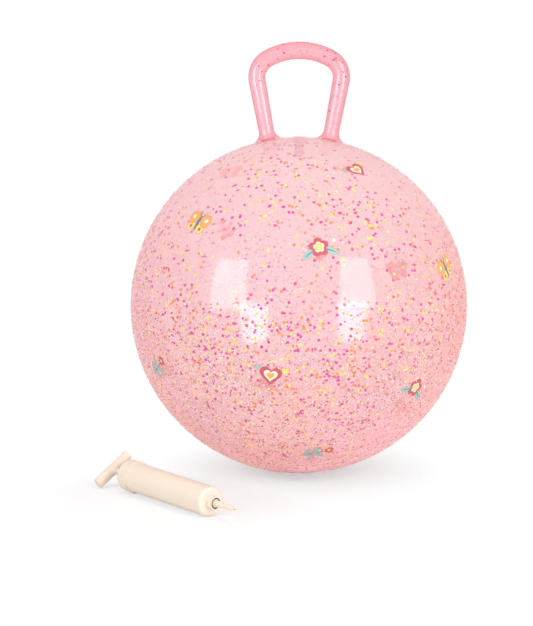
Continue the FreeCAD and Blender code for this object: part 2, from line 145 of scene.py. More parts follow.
# %% A finish under construction
class Finish:
    """The nodes of a material or a world. The method node adds any of them."""

    def __init__(self, name, kind="materials"):
        self.owner = getattr(bpy.data, kind).new(name)
        self.owner.use_nodes = True
        self.tree = self.owner.node_tree
        self.tree.nodes.clear()

    def node(self, kind, settings=None, inputs=None, output=0, stops=None):
        """Adds a node, sets it up, fills its sockets with values or links, and returns an output."""
        made = self.tree.nodes.new("ShaderNode" + kind)
        for key, value in (settings or {}).items():
            setattr(made, key, value)
        if stops:
            elements = made.color_ramp.elements
            while len(elements) < len(stops):
                elements.new(0.5)
            for element, (place, colour) in zip(elements, stops):
                element.position, element.color = place, (*colour, 1.0)
        for key, value in (inputs or {}).items():
            if isinstance(value, Field):
                self.tree.links.new(value.socket, made.inputs[key])
            else:
                wants_alpha = made.inputs[key].type == "RGBA" and len(value) == 3
                made.inputs[key].default_value = (*value, 1.0) if wants_alpha else value
        return Field(self, made.outputs[output])

    def place(self):
        """Where a point of the piece is, in metres."""
        return self.node("TexCoord", output="Object")

    def noise(self, scale, detail=2.0, where=None):
        """Soft noise from 0 to 1, with features of about 1 / scale metres."""
        return self.node("TexNoise", inputs={
            "Vector": where or self.place(), "Scale": scale, "Detail": detail})

    def distance(self, first, second):
        """How far two places are from each other."""
        return self.node("VectorMath", {"operation": "DISTANCE"}, {0: first, 1: second},
                         output="Value")

    def blend(self, amount, first, second):
        """A colour between two colours."""
        return self.node("Mix", {"data_type": "RGBA"}, {0: amount, 6: first, 7: second}, output=2)

    def bump(self, height, strength, distance):
        """A surface that seems to rise and fall by a share of a distance."""
        return self.node("Bump",
                         inputs={"Height": height, "Strength": strength, "Distance": distance})

    def mix(self, amount, first, second):
        """A shader between two shaders."""
        return self.node("MixShader", inputs={0: amount, 1: first, 2: second})

    def surface(self, colour, roughness, **more):
        """A Principled shader, with values for more of its sockets by their names."""
        inputs = {"Base Color": colour, "Roughness": roughness, **more}
        return self.node("BsdfPrincipled", inputs=inputs)

    def clear(self, tint=(1.0, 1.0, 1.0)):
        """A shader that lets the view through."""
        return self.node("BsdfTransparent", inputs={"Color": tint})

    def from_behind(self):
        """1 where the back of a face is seen, and 0 on its front."""
        return self.node("NewGeometry", output="Backfacing")

    def parts(self, kind, source):
        """The three parts of a vector or a colour."""
        first = self.node(kind, inputs={0: source})
        return [Field(self, output) for output in first.socket.node.outputs]

    def show(self, shader, kind="OutputMaterial"):
        """Makes the shader what is seen, and returns the finished material or world."""
        shown = self.tree.nodes.new("ShaderNode" + kind)
        self.tree.links.new(shader.socket, shown.inputs["Surface"])
        return self.owner


# %% [markdown]
# ## Studio
# The photograph was taken in a white studio with two upright soft boxes, left and right of the
# camera, whose images are the two pale windows on the ball. Each is turned about all three axes,
# which slants its window as in the picture. A wide box above and a low one in front fill the
# shadows without a window of their own. The floor shows white to the camera and in reflections
# by itself. Near the ball and the pump a share of it is plain and matt, and keeps their shadows.

# %% World
WORLD_LIGHT = 0.44


def seen_directly(finish):
    """1 for the camera's rays, reflected ones and those through clear parts, else 0."""
    rays = ("Is Camera Ray", "Is Glossy Ray", "Is Transmission Ray")
    return sum(finish.node("LightPath", output=ray) for ray in rays).at_most(1.0)


studio = Finish("studio", kind="worlds")
strength = studio.node("MapRange",
                       inputs={"Value": seen_directly(studio), "To Min": WORLD_LIGHT})
sky = studio.node("Background", inputs={"Color": (1, 1, 1), "Strength": strength})
bpy.context.scene.world = studio.show(sky, "OutputWorld")
print("world light:", WORLD_LIGHT)

# %% Floor
FLOOR_HALF = 6.0
FLOOR_MATT_SHARE = 0.8
PUMP_POOL_SHARE = 0.5
FLOOR_COLOUR = (0.87, 0.87, 0.87)
# Pink light comes through the ball, so this cool tone gives it a nearly grey shadow
GREY_UNDER_BALL = (0.69, 0.98, 0.98)
barrel_low, barrel_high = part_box("pump_barrel")
# Each shadow's middle, and the radii at which it starts to fade and ends, in metres
SHADOW_POOLS = [((0.0, 0.0, 0.0), 0.02, 0.21),
                (tuple((barrel_low + barrel_high) / 2), 0.11, 0.21)]


def shadow_pool(finish, centre, inner, outer):
    """1 within the inner radius of a place on the floor, and smoothly 0 beyond the outer one."""
    return finish.node("MapRange", {"interpolation_type": "SMOOTHSTEP"}, {
        "Value": finish.distance(finish.place(), centre), "From Min": outer, "From Max": inner})


def floor_finish():
    """White to the camera and to reflections by itself, with a matt share that takes shadows."""
    finish = Finish("studio_floor")
    under_ball, under_pump = (shadow_pool(finish, *pool) for pool in SHADOW_POOLS)
    near = under_ball.at_least(under_pump * PUMP_POOL_SHARE)
    tone = finish.blend(under_ball, FLOOR_COLOUR, GREY_UNDER_BALL)
    matt = finish.node("BsdfDiffuse", inputs={"Color": tone})
    white = finish.node("Emission", inputs={"Color": (1, 1, 1), "Strength": 1.0})
    white_share = seen_directly(finish) * (1 - FLOOR_MATT_SHARE * near)
    return finish.show(finish.mix(white_share, matt, white))


floor_corners = [(across * FLOOR_HALF, away * FLOOR_HALF, 0)
                 for across, away in ((-1, -1), (1, -1), (1, 1), (-1, 1))]
floor_mesh = bpy.data.meshes.new("floor")
floor_mesh.from_pydata(floor_corners, [], [(0, 1, 2, 3)])
floor_mesh.materials.append(floor_finish())
floor = bpy.data.objects.new("floor", floor_mesh)
bpy.context.scene.collection.objects.link(floor)
print("floor:", 2 * FLOOR_HALF, "m wide")

# %% Lamps
BOX_RADIANCE = 6.0
TOP_RADIANCE = 2.4
FILL_RADIANCE = 5.0
BOX_DISTANCE = 1.3


def outward(azimuth, elevation):
    """The unit vector at an azimuth, 0 in front and 90 to the right, and an elevation."""
    turn, rise = math.radians(azimuth), math.radians(elevation)
    return np.array([math.sin(turn) * math.cos(rise), -math.cos(turn) * math.cos(rise),
                     math.sin(rise)])


def soft_box(name, azimuth, elevation, distance, size, radiance, yaw=0.0, pitch=0.0, roll=0.0):
    """A flat lamp of a given brightness. It faces the ball's middle, but for its own three turns.

    A lamp of power P and area A shines with P / (pi * A) from each point of its face.
    """
    light = bpy.data.lights.new(name, "AREA")
    light.shape = "RECTANGLE"
    light.size, light.size_y = size
    light.energy = radiance * math.pi * size[0] * size[1]
    lamp = bpy.data.objects.new(name, light)
    bpy.context.scene.collection.objects.link(lamp)
    lamp.location = Vector(CENTRE + outward(azimuth, elevation) * distance)
    lamp.rotation_mode = "QUATERNION"
    facing = Vector(-outward(azimuth + yaw, elevation + pitch)).to_track_quat("-Z", "Y")
    lamp.rotation_quaternion = facing @ Quaternion((0, 0, 1), math.radians(roll))
    return lamp


# Azimuth, elevation, distance, width and height, radiance
soft_box("left_box", -45.2, 19.1, BOX_DISTANCE, (0.51, 0.73), BOX_RADIANCE,
         yaw=6.2, pitch=-27.0, roll=8.1)
soft_box("right_box", 38.0, 21.9, BOX_DISTANCE, (0.47, 0.78), BOX_RADIANCE,
         yaw=-6.9, pitch=-33.1, roll=-6.4)
top_box = soft_box("top_box", -15.0, 80.0, 1.8, (1.3, 1.3), TOP_RADIANCE)
low_fill = soft_box("low_fill", 28.0, -1.0, 1.7, (2.2, 0.4), FILL_RADIANCE)
for lamp in (top_box, low_fill):
    lamp.visible_glossy = False

# %% [markdown]
# ## Surfaces from numpy grids
# Most new pieces are grids of points worked out at once: rows run along a profile and columns
# run around it. One function turns points and faces into a mesh. Rows that shrink to a point,
# as at a pole, are merged afterwards, so that no seam stays open.

# %% From a grid of points to a piece
def grid_faces(rows, columns, wrap_rows=False):
    """Four-cornered faces of a grid that closes round, numbered row by row."""
    row = np.arange(rows if wrap_rows else rows - 1)[:, None]
    column = np.arange(columns)[None, :]
    below, beside = (row + 1) % rows, (column + 1) % columns
    corners = [row * columns + column, row * columns + beside,
               below * columns + beside, below * columns + column]
    return np.stack(np.broadcast_arrays(*corners), axis=-1).reshape(-1, 4)


def make_piece(name, points, faces, materials, face_material=None, body="root",
               sharp_degrees=40.0, merge=1e-6):
    """A piece from points (n, 3) and faces (m, corners), in metres, riding on a body."""
    mesh = bpy.data.meshes.new(name)
    mesh.from_pydata(points, [], faces)
    if face_material is not None:
        mesh.polygons.foreach_set("material_index", face_material.astype(np.int32))
    for material in materials:
        mesh.materials.append(material)
    if merge:
        work = bmesh.new()
        work.from_mesh(mesh)
        bmesh.ops.remove_doubles(work, verts=work.verts, dist=merge)
        work.to_mesh(mesh)
        work.free()
    mesh.shade_smooth()
    mesh.set_sharp_from_angle(angle=math.radians(sharp_degrees))
    piece = bpy.data.objects.new(name, mesh)
    bpy.context.scene.collection.objects.link(piece)
    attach(piece, body)
    triangles = len(mesh.loops) - 2 * len(mesh.polygons)
    print(f"{name}: {len(mesh.vertices)} points, {triangles} triangles")
    return piece


# %% [markdown]
# ## Clear vinyl
# Soft clear vinyl is a tinted window with a wet gloss. Bending light in a thin wall hardly moves
# what is behind it, so the wall needs no real refraction. It is a mix of a clear part that lets
# the view through and a dyed part that scatters light, and glows with light from behind. Seen at
# a slant, a ray stays longer in the wall: the clear share is its straight value to the power
# 1 / cosine. Over it lies the gloss, which grows with the fifth power of the slant, from a few
# per cent to a share at the rim. On the skin's outer face and the handle that share is held well
# under a real mirror's, because a full one whitens the rim under a lamp. A haze of fine
# scratches makes the outer face's dyes paler. Each wall shows its gloss once, on the face turned
# to the eye, and the inner face gets more, for the flakes in the wall that shine back there.
# Towards the crown the skin's dye is paler and thinner, which is painted light from above. The
# handle's feet run out to a thin edge, where their dye thins out too.

# %% The clear vinyl finish
# Four dyes each: peach, rose, lilac, and a pale one towards the crown, which paints light from above
SKIN_DYES = ((1.0, 0.50, 0.42), (0.99, 0.50, 0.52), (0.93, 0.56, 0.68), (1.0, 0.74, 0.75))
HANDLE_DYES = ((0.87, 0.20, 0.20), (0.87, 0.19, 0.23), (0.90, 0.25, 0.33), (0.87, 0.20, 0.22))
OUTER_PALENESS = 0.6
GLOSS_ROUGHNESS = 0.12
BODY_ROUGHNESS = 0.45
SKIN_RIM_GLOSS = 0.25
SHINE_THROUGH = 0.5
# The dyes' drifts: a noise times its contrast, less its offset, and what a metre of way adds
WARM_CONTRAST = 2.6
WARM_OFFSET = 0.8
LILAC_CONTRAST = 3.0
LILAC_OFFSET = 1.2
LILAC_BY_SIDE = 1.6
LILAC_BY_HEIGHT = 2.0
MOST_LILAC = 0.9
# Paler dye higher up is painted light from above
PAINTED_LIGHT_BY_HEIGHT = 4.5
MOST_PAINTED_LIGHT = 0.85
# The dyed share's fall at the crown (painted light from above), its swing in clouds, and what a thin
# edge keeps of it
PAINTED_LIGHT_DYE_FALL = 0.3
CLOUDED_SHARE = 1.2
THIN_EDGE_SHARE = 0.15
STEEPEST_COSINE = 0.18
RIPPLE_STRENGTH = 0.25
RIPPLE_HEIGHT = 0.4 * MM
# Glitter: a speck's radius in cells, its level's wander in metres, and its density by height
GLITTER_CELL = 1.7 * MM
SPECK_RADIUS = 0.20
SPECK_RADIUS_SPREAD = 0.16
SPECK_COVER = 0.85
LEVEL_WANDER = 0.3
LEVEL_BY_SIDE = 0.22
FULL_BELOW = 0.04
SPARSE_ABOVE = 0.27
SPARSE_SHARE = 0.03
GLITTER_STOPS = [(0.0, (0.36, 0.33, 0.30)), (0.14, (0.86, 0.40, 0.44)), (0.30, (0.97, 0.82, 0.52)),
                 (0.44, (0.84, 0.48, 0.68)), (0.56, (1.0, 0.96, 0.93)), (0.93, (0.50, 0.52, 0.46))]


def glitter(finish, where):
    """(where there is a speck, its colour): dots at random, denser towards the ball's bottom.

    Space is cut into cells with one point each. A speck shows where the surface passes close to
    a cell's point, if the cell's own random number is under the density at that height.
    """
    cells = finish.node("TexVoronoi", {"voronoi_dimensions": "3D", "feature": "F1"},
                        {"Vector": where, "Scale": 1 / GLITTER_CELL}, output="Distance")
    cell_colour = Field(finish, cells.socket.node.outputs["Color"])
    lot, size, tone = finish.parts("SeparateColor", cell_colour)
    beside, _, height = finish.parts("SeparateXYZ", where)
    wander = finish.noise(scale=9.0, detail=3.0, where=where) - 0.5
    density = finish.node("MapRange", {"interpolation_type": "SMOOTHSTEP"}, {
        "Value": height + LEVEL_WANDER * wander + LEVEL_BY_SIDE * beside,
        "From Min": SPARSE_ABOVE, "From Max": FULL_BELOW, "To Min": SPARSE_SHARE, "To Max": 1.0})
    speck = (cells < SPECK_RADIUS + SPECK_RADIUS_SPREAD * size) * (lot < density)
    colour = finish.node("ValToRGB", inputs={"Fac": tone}, stops=GLITTER_STOPS)
    colour.socket.node.color_ramp.interpolation = "CONSTANT"
    return speck, colour


def clear_vinyl(name, dyed_share, mirror_share, tint, dyes, speckled=False,
                steepest=STEEPEST_COSINE, rim_gloss=1.0, roughness=GLOSS_ROUGHNESS,
                edge_height=None):
    """Tinted see-through vinyl with a wet gloss, by the sums above. Its dyes drift softly."""
    peach, rose, lilac, pale = dyes
    finish = Finish(name)
    where = finish.place()
    slant = finish.node("LayerWeight", inputs={"Blend": 0.5}, output="Facing")
    cosine = (1 - slant).at_least(steepest)
    warm_share = (WARM_CONTRAST * finish.noise(scale=4.5, where=where) - WARM_OFFSET).clipped()
    beside, _, height = finish.parts("SeparateXYZ", where)
    raised = height - CENTRE_HEIGHT
    lilac_share = (finish.noise(scale=7.0, where=where) * LILAC_CONTRAST - LILAC_OFFSET
                   - LILAC_BY_SIDE * beside + LILAC_BY_HEIGHT * raised).clipped(most=MOST_LILAC)
    # Paler, clearer vinyl higher up: painted light from above
    painted_top_light = (PAINTED_LIGHT_BY_HEIGHT * raised).clipped(most=MOST_PAINTED_LIGHT)
    colour = finish.blend(lilac_share, finish.blend(warm_share, peach, rose), lilac)
    colour = finish.blend(painted_top_light, colour, pale)
    clouds = 1 + CLOUDED_SHARE * (finish.noise(scale=5.5, detail=1.0, where=where) - 0.5)
    straight = dyed_share * clouds * (1 - PAINTED_LIGHT_DYE_FALL * painted_top_light)
    if edge_height:
        above = finish.distance(where, tuple(CENTRE)) - BALL_RADIUS
        straight = straight * (above / edge_height).clipped(THIN_EDGE_SHARE)
    dyed = 1 - (1 - straight) ** (1 / cosine)
    if speckled:
        speck, speck_colour = glitter(finish, where)
        colour = finish.blend(speck, colour, speck_colour)
        dyed = dyed.at_least(speck * SPECK_COVER)
    ripple = finish.bump(finish.noise(scale=26.0, detail=3.0, where=where),
                         RIPPLE_STRENGTH, RIPPLE_HEIGHT)
    # An IOR of 1 leaves the body matt: the gloss is laid over it
    body = finish.surface(colour, BODY_ROUGHNESS, IOR=1.0, Normal=ripple)
    gloss = finish.node("BsdfAnisotropic", inputs={
        "Color": (1.0, 1.0, 1.0), "Roughness": roughness, "Normal": ripple})
    shining = finish.node("BsdfTranslucent", inputs={"Color": colour})
    wall = finish.mix(dyed, finish.clear(tint), finish.mix(SHINE_THROUGH, body, shining))
    mirror = mirror_share + (rim_gloss - mirror_share) * slant ** 5
    mirror = mirror * (1 - finish.from_behind())
    return finish.show(finish.mix(mirror, wall, gloss))


OUTER_DYES = tuple(tuple(part + OUTER_PALENESS * (1 - part) for part in dye) for dye in SKIN_DYES)
SKIN_OUTSIDE = clear_vinyl("vinyl_outside", dyed_share=0.06, mirror_share=0.032,
                           tint=(1.0, 0.965, 0.97), dyes=OUTER_DYES, rim_gloss=SKIN_RIM_GLOSS)
SKIN_INSIDE = clear_vinyl("vinyl_inside", dyed_share=0.24, mirror_share=0.16,
                          tint=(1.0, 0.905, 0.915), dyes=SKIN_DYES, speckled=True)
print("vinyl finishes:", SKIN_OUTSIDE.name, SKIN_INSIDE.name)

# %% [markdown]
# ## The ball's skin
# The ball is one rotomoulded bag of even wall, blown up until it is round, with a thick collar
# round the valve port and a flat patch where it rests. A profile turned about the upright axis
# gives it exactly: out along the big arc, down the port, and back along the inner arc.

# %% Turned skin
AROUND = 256
ARC_ROWS = 130


def arc_points(radius, start, end):
    """Points (r, z) of a circle about the ball's middle, by angle from the top."""
    angle = np.linspace(start, end, ARC_ROWS)
    return np.stack([radius * np.sin(angle), CENTRE_HEIGHT + radius * np.cos(angle)], axis=1)


def turned(profile):
    """Points of a profile of (r, z) rows turned about the Z axis, and their faces."""
    angle = np.linspace(0, 2 * np.pi, AROUND, endpoint=False)
    r, z = profile[:, :1], profile[:, 1:]
    points = np.stack(np.broadcast_arrays(r * np.cos(angle), r * np.sin(angle), z), axis=-1)
    return points.reshape(-1, 3), grid_faces(len(profile), AROUND)


patch_angle = math.pi - math.asin(REST_PATCH_RADIUS / BALL_RADIUS)
port_angle = math.asin(PORT_RADIUS / BALL_RADIUS)
inner_patch_angle = math.pi - math.acos((CENTRE_HEIGHT - SKIN_WALL) / INNER_RADIUS)
inner_port_angle = math.asin(PORT_COLLAR_RADIUS / INNER_RADIUS)
outer_arc = arc_points(BALL_RADIUS, patch_angle, port_angle)
collar_end = outer_arc[-1, 1] - PORT_COLLAR_DEPTH
collar = [[PORT_RADIUS, collar_end], [PORT_COLLAR_RADIUS, collar_end]]
inner_arc = arc_points(INNER_RADIUS, inner_port_angle, inner_patch_angle)
profile = np.concatenate([[[0.0, 0.0]], outer_arc, collar, inner_arc, [[0.0, SKIN_WALL]]])
skin_points, skin_faces = turned(profile)
skin_inside = np.arange(len(skin_faces)) // AROUND >= 1 + len(outer_arc)
skin = make_piece("ball_shell", skin_points, skin_faces, [SKIN_OUTSIDE, SKIN_INSIDE], skin_inside)
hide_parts("ball_skin")

# %% [markdown]
# ## The loop handle
# The handle is a hollow tube of the same vinyl, welded to the ball's crown: two legs that point
# to the ball's middle, two tight shoulders and a flat arch, all touching one another smoothly.
# Such a tube is a row of circles along a path. The legs lie on lines through the ball's middle,
# so each foot, with its fillet down to the skin, is round about its leg and is more circles.

# %% The handle's path
ARCH_RADIUS = 86.0 * MM
SHOULDER_RADIUS = 28.0 * MM
BAR_RADIUS = 11.2 * MM
LEG_RADIUS = 10.1 * MM
HANDLE_WALL = 2.0 * MM
FOOT_SPACING = 41.0 * MM
FOOT_FILLET = 12.5 * MM
WELD_GAP = 0.05 * MM
ACROSS_LOOP = np.array([0.0, 1.0, 0.0])

loop_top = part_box("grab_handle")[1].z - BAR_RADIUS
leg_lean = math.asin(FOOT_SPACING / BALL_RADIUS)
arch_distance = loop_top - ARCH_RADIUS - CENTRE_HEIGHT
leg_end = arch_distance * math.cos(leg_lean) + math.sqrt(
    (ARCH_RADIUS - SHOULDER_RADIUS)**2 - (SHOULDER_RADIUS - arch_distance * math.sin(leg_lean))**2)


def in_loop_plane(angle):
    """Unit vectors in the XZ plane, by angle from straight up towards +X."""
    angle = np.asarray(angle, float)
    return np.stack([np.sin(angle), np.zeros_like(angle), np.cos(angle)], axis=-1)


arch_centre = CENTRE + in_loop_plane(0.0) * arch_distance
shoulder = (CENTRE + in_loop_plane(leg_lean) * leg_end
            + in_loop_plane(leg_lean - math.pi / 2) * SHOULDER_RADIUS)
shoulder_angle = math.atan2(shoulder[0], shoulder[2] - arch_centre[2])
print(f"leg lean {math.degrees(leg_lean):.2f} degrees, leg end {leg_end:.4f} m out")


# %% Circles along the path
HANDLE_AROUND = 72
FILLET_CIRCLES = 22
LEG_CIRCLES = 14
SHOULDER_CIRCLES = 26
ARCH_CIRCLES = 22


def foot_profile():
    """(distance along the leg, radius) from the fillet's thin edge on the skin up to the leg.

    The fillet is an arc that touches the leg's side and the skin from outside: its centre lies a
    fillet radius off both, and its points are that centre plus the radius at angles between.
    """
    seat = BALL_RADIUS + WELD_GAP
    beside = LEG_RADIUS + FOOT_FILLET
    along = math.sqrt((seat + FOOT_FILLET)**2 - beside**2)
    angle = np.linspace(math.pi + math.atan2(along, beside), math.pi, FILLET_CIRCLES)
    return along + FOOT_FILLET * np.sin(angle), beside + FOOT_FILLET * np.cos(angle)


def half_path(bore):
    """Centres, sideways directions and radii of the circles from the right foot to the top."""
    foot_along, foot_radius = foot_profile()
    leg = np.linspace(foot_along[-1], leg_end, LEG_CIRCLES)[1:]
    leg_radius = LEG_RADIUS + (BAR_RADIUS - LEG_RADIUS) * (leg - leg[0]) / (leg_end - leg[0])
    if bore:
        seat = math.sqrt((BALL_RADIUS + WELD_GAP)**2 - (LEG_RADIUS - HANDLE_WALL)**2)
        foot_along, foot_radius = np.array([seat]), np.array([LEG_RADIUS])
    along = np.concatenate([foot_along, leg])
    straight = CENTRE + in_loop_plane(leg_lean) * along[:, None]
    sideways = np.repeat(in_loop_plane(leg_lean + math.pi / 2)[None], len(along), 0)
    bend = np.linspace(leg_lean + math.pi / 2, shoulder_angle, SHOULDER_CIRCLES)[1:]
    top = np.linspace(shoulder_angle, 0.0, ARCH_CIRCLES)[1:]
    centres = np.concatenate([straight, shoulder + SHOULDER_RADIUS * in_loop_plane(bend),
                              arch_centre + ARCH_RADIUS * in_loop_plane(top)])
    sideways = np.concatenate([sideways, in_loop_plane(bend), in_loop_plane(top)])
    radii = np.concatenate([foot_radius, leg_radius, np.full(len(bend) + len(top), BAR_RADIUS)])
    return centres, sideways, radii - (HANDLE_WALL if bore else 0.0)


def whole_path(bore):
    """The half path and its mirror image, from the right foot over the top to the left foot."""
    centres, sideways, radii = half_path(bore)
    flip = np.array([-1.0, 1.0, 1.0])
    return (np.concatenate([centres, centres[-2::-1] * flip]),
            np.concatenate([sideways, sideways[-2::-1] * flip]),
            np.concatenate([radii, radii[-2::-1]]))


def circles(centres, sideways, radii):
    """Grid of points: each centre plus its radius times (cos a * sideways + sin a * Y)."""
    angle = np.linspace(0, 2 * np.pi, HANDLE_AROUND, endpoint=False)[None, :, None]
    return (centres[:, None] + radii[:, None, None]
            * (np.cos(angle) * sideways[:, None] + np.sin(angle) * ACROSS_LOOP))


print("circles along the handle:", len(whole_path(False)[0]))

# %% The handle's two surfaces as one closed piece
HANDLE_GLOSS = {"mirror_share": 0.05, "rim_gloss": 0.08, "roughness": 0.18}
BORE_STEEPEST_COSINE = 0.6
THIN_EDGE_HEIGHT = 3.0 * MM
handle_outside = circles(*whole_path(False))
handle_bore = circles(*whole_path(True))[::-1]
handle_grid = np.concatenate([handle_outside, handle_bore])
handle_faces = grid_faces(len(handle_grid), HANDLE_AROUND, wrap_rows=True)
# The bore's finish starts with the row of faces under the left foot
bore_side = np.arange(len(handle_faces)) // HANDLE_AROUND >= len(handle_outside) - 1
HANDLE_OUTSIDE = clear_vinyl("vinyl_handle_outside", dyed_share=0.28, tint=(1.0, 0.85, 0.905),
                             dyes=HANDLE_DYES, edge_height=THIN_EDGE_HEIGHT, **HANDLE_GLOSS)
HANDLE_BORE = clear_vinyl("vinyl_handle_bore", dyed_share=0.04, tint=(1.0, 0.99, 0.99),
                          dyes=HANDLE_DYES, steepest=BORE_STEEPEST_COSINE, **HANDLE_GLOSS)
handle = make_piece("handle_loop", handle_grid.reshape(-1, 3), handle_faces,
                    [HANDLE_OUTSIDE, HANDLE_BORE], bore_side, sharp_degrees=60.0)
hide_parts("grab_handle")

# %% [markdown]
# ## Weld beads under the feet
# Where each leg's tube meets the skin the vinyl was melted together, and the double layer shows
# as a thin dark red line through the clear foot. It is a slim ring about the leg's axis.

# %% Weld beads
BEAD_RADIUS = 10.4 * MM
BEAD_THICK = 0.6 * MM
BEAD_LIFT = 0.1 * MM
BEAD_SECTION = 12
BEAD_ROUGHNESS = 0.35
bead_along = math.sqrt(BALL_RADIUS**2 - BEAD_RADIUS**2) + BEAD_THICK + BEAD_LIFT


def weld_ring(side):
    """A ring: a small circle, carried round the leg's axis at a radius and a distance along it."""
    turn = np.linspace(0, 2 * np.pi, BEAD_SECTION, endpoint=False)[:, None, None]
    angle = np.linspace(0, 2 * np.pi, HANDLE_AROUND, endpoint=False)[None, :, None]
    axis = in_loop_plane(side * leg_lean)
    sideways = in_loop_plane(side * leg_lean + math.pi / 2)
    outwards = np.cos(angle) * sideways + np.sin(angle) * ACROSS_LOOP
    return (CENTRE + axis * (bead_along + BEAD_THICK * np.sin(turn))
            + outwards * (BEAD_RADIUS + BEAD_THICK * np.cos(turn))).reshape(-1, 3)


# Deep red and a little mottled, with a soft gloss
bead_finish = Finish("weld_bead")
bead_colour = bead_finish.blend(bead_finish.noise(scale=400.0), (0.80, 0.20, 0.20),
                                (0.86, 0.27, 0.26))
BEAD = bead_finish.show(bead_finish.surface(bead_colour, BEAD_ROUGHNESS))
for side, word in ((1, "right"), (-1, "left")):
    bead = make_piece(f"{word}_weld_bead", weld_ring(side),
                      grid_faces(BEAD_SECTION, HANDLE_AROUND, wrap_rows=True), [BEAD])

# %% [markdown]
# ## Confetti
# Thousands of paper-thin discs lie in the wall in loose drifts, fewer near the top, and a few
# dozen have come loose inside and lean. As one mesh per colour they travel with the part. A disc
# is an eight-sided prism and a flake of glitter a five-sided one, all of one colour in a single
# array: middle + radius * (cos a * east + sin a * north) + half a thickness * facing.
# Discs of the far wall are seen across the ball through slightly hazy vinyl, which leaves only
# faint spots of them. So a face of film is solid to an eye outside. To an eye within, a face
# turned outward is clear, and one turned inward covers a share of the view and lets the light
# behind it shine through.

# %% Where confetti lies
chance = np.random.default_rng(45)
DISC_SIDES = 8
DISC_THICK = 0.2 * MM
GRAIN_THICK = 0.65 * MM
DRIFT_LENGTH = 0.75
DRIFT_WAVES = 7
DRIFT_GAIN = 1.8
DRIFT_SHARE = 0.38
BELL_WIDTH = 0.55
DRAWS_PER_DISC = 8
PORT_EDGE = 0.995
PATCH_EDGE = -0.99
NEARLY_UPRIGHT = 0.9
LEAST_LEAN = 0.4
# Places with few discs: azimuth, elevation, how far off discs get more and are all there again,
# # in degrees, and the share that is left. The first two lie where the two front soft boxes are
# mirrored towards the camera: bare there, they are a painted highlight that makes the windows look
# washed out. In sandy places fine glitter takes their place.
BARE_PLACES = [(-26.0, 15.5, 6.5, 10.0, 0.0), (21.5, 16.0, 6.0, 10.0, 0.0),
               (152.0, 40.0, 5.0, 13.0, 0.0), (-118.0, -6.0, 4.0, 11.0, 0.0)]
SANDY_PLACES = [(-60.0, -32.0, 16.0, 36.0, 0.3), (50.0, -34.0, 14.0, 32.0, 0.35)]
ALL_PLACES = BARE_PLACES + SANDY_PLACES


def unit(vectors):
    """The vectors, brought to a length of 1."""
    return vectors / np.linalg.norm(vectors, axis=-1, keepdims=True)


def drift(directions, seed):
    """A smooth random field, mostly within -1 and 1: the mean of a few waves across space."""
    waves = np.random.default_rng(seed)
    along = unit(waves.normal(size=(DRIFT_WAVES, 3)))
    phase = waves.uniform(0, 2 * np.pi, DRIFT_WAVES)
    angle = directions @ along.T * (2 * np.pi / DRIFT_LENGTH) + phase
    return DRIFT_GAIN * np.sin(angle).mean(axis=1)


def scattered(count, spare_share, fullest, seed, thin_places=BARE_PLACES):
    """Unit vectors all round, off the port and the resting patch.

    They are densest at one height and thin out above and below it to a share, by a bell curve.
    """
    out = unit(chance.normal(size=(count * DRAWS_PER_DISC, 3)))
    fullness = np.exp(-((out[:, 2] - fullest) / BELL_WIDTH)**2)
    density = (spare_share + (1 - spare_share) * fullness) * (
        1 - DRIFT_SHARE + DRIFT_SHARE * drift(out, seed))
    for azimuth, elevation, clear, full, left in thin_places:
        away = np.degrees(np.arccos(np.clip(out @ outward(azimuth, elevation), -1, 1)))
        density *= left + (1 - left) * np.clip((away - clear) / (full - clear), 0, 1)
    free = (out[:, 2] < PORT_EDGE) & (out[:, 2] > PATCH_EDGE)
    return out[free & (chance.uniform(size=len(out)) < density)][:count]


def across(facing):
    """Two unit vectors square to each facing vector and to each other."""
    helper = np.where(np.abs(facing[:, 2:]) < NEARLY_UPRIGHT, [[0.0, 0.0, 1.0]], [[1.0, 0.0, 0.0]])
    east = unit(np.cross(helper, facing))
    return east, np.cross(facing, east)


def leaning(out, most):
    """The facing vectors after a random lean of up to an angle, towards a random side."""
    east, north = across(out)
    lean, way = chance.uniform(LEAST_LEAN, most, (2, len(out), 1))
    way *= 2 * np.pi
    return np.cos(lean) * out + np.sin(lean) * (np.cos(way) * east + np.sin(way) * north)


def discs(middle, facing, radius, thick=DISC_THICK, sides=DISC_SIDES):
    """Points of thin many-sided prisms, one a row: upper rim, lower rim and two middles."""
    east, north = (way[:, None] for way in across(facing))
    angle = np.linspace(0, 2 * np.pi, sides, endpoint=False) + chance.uniform(
        0, 2 * np.pi, (len(middle), 1))
    reach = radius[:, None, None]
    rim = reach * (np.cos(angle)[..., None] * east + np.sin(angle)[..., None] * north)
    step = facing[:, None] * thick / 2
    hub = middle[:, None]
    return np.concatenate([hub + rim + step, hub + rim - step, hub + step, hub - step], axis=1)


print("places with fewer discs:", len(ALL_PLACES))

# %% How confetti is spread over the ball and the handle
LARGE_COUNT = 3600
SMALL_COUNT = 6400
FLAKE_COUNT = 9000
FLAKE_SIDES = 5
LOOSE_COUNT = 40
HANDLE_COUNT = 54
# What stays free at both faces of the wall, and how far inside it loose discs are, in mm
WALL_MARGIN = 0.1
LOOSE_DEPTHS = (1.8, 2.4)
LOOSE_MOST_LEAN = 1.5
HANDLE_DISC_DEPTH = 1.0 * MM
STRAY_RADIUS = 1.5 * MM


def in_the_wall(out, smallest, largest, thick, sides=DISC_SIDES):
    """Discs of random radii, in millimetres, that lie flat in the skin at random depths."""
    room = (SKIN_WALL - thick) / MM / 2 - WALL_MARGIN
    depth = INNER_RADIUS + SKIN_WALL / 2 + chance.uniform(-room, room, (len(out), 1)) * MM
    radius = chance.uniform(smallest, largest, len(out)) * MM
    return discs(CENTRE + out * depth, out, radius, thick, sides)


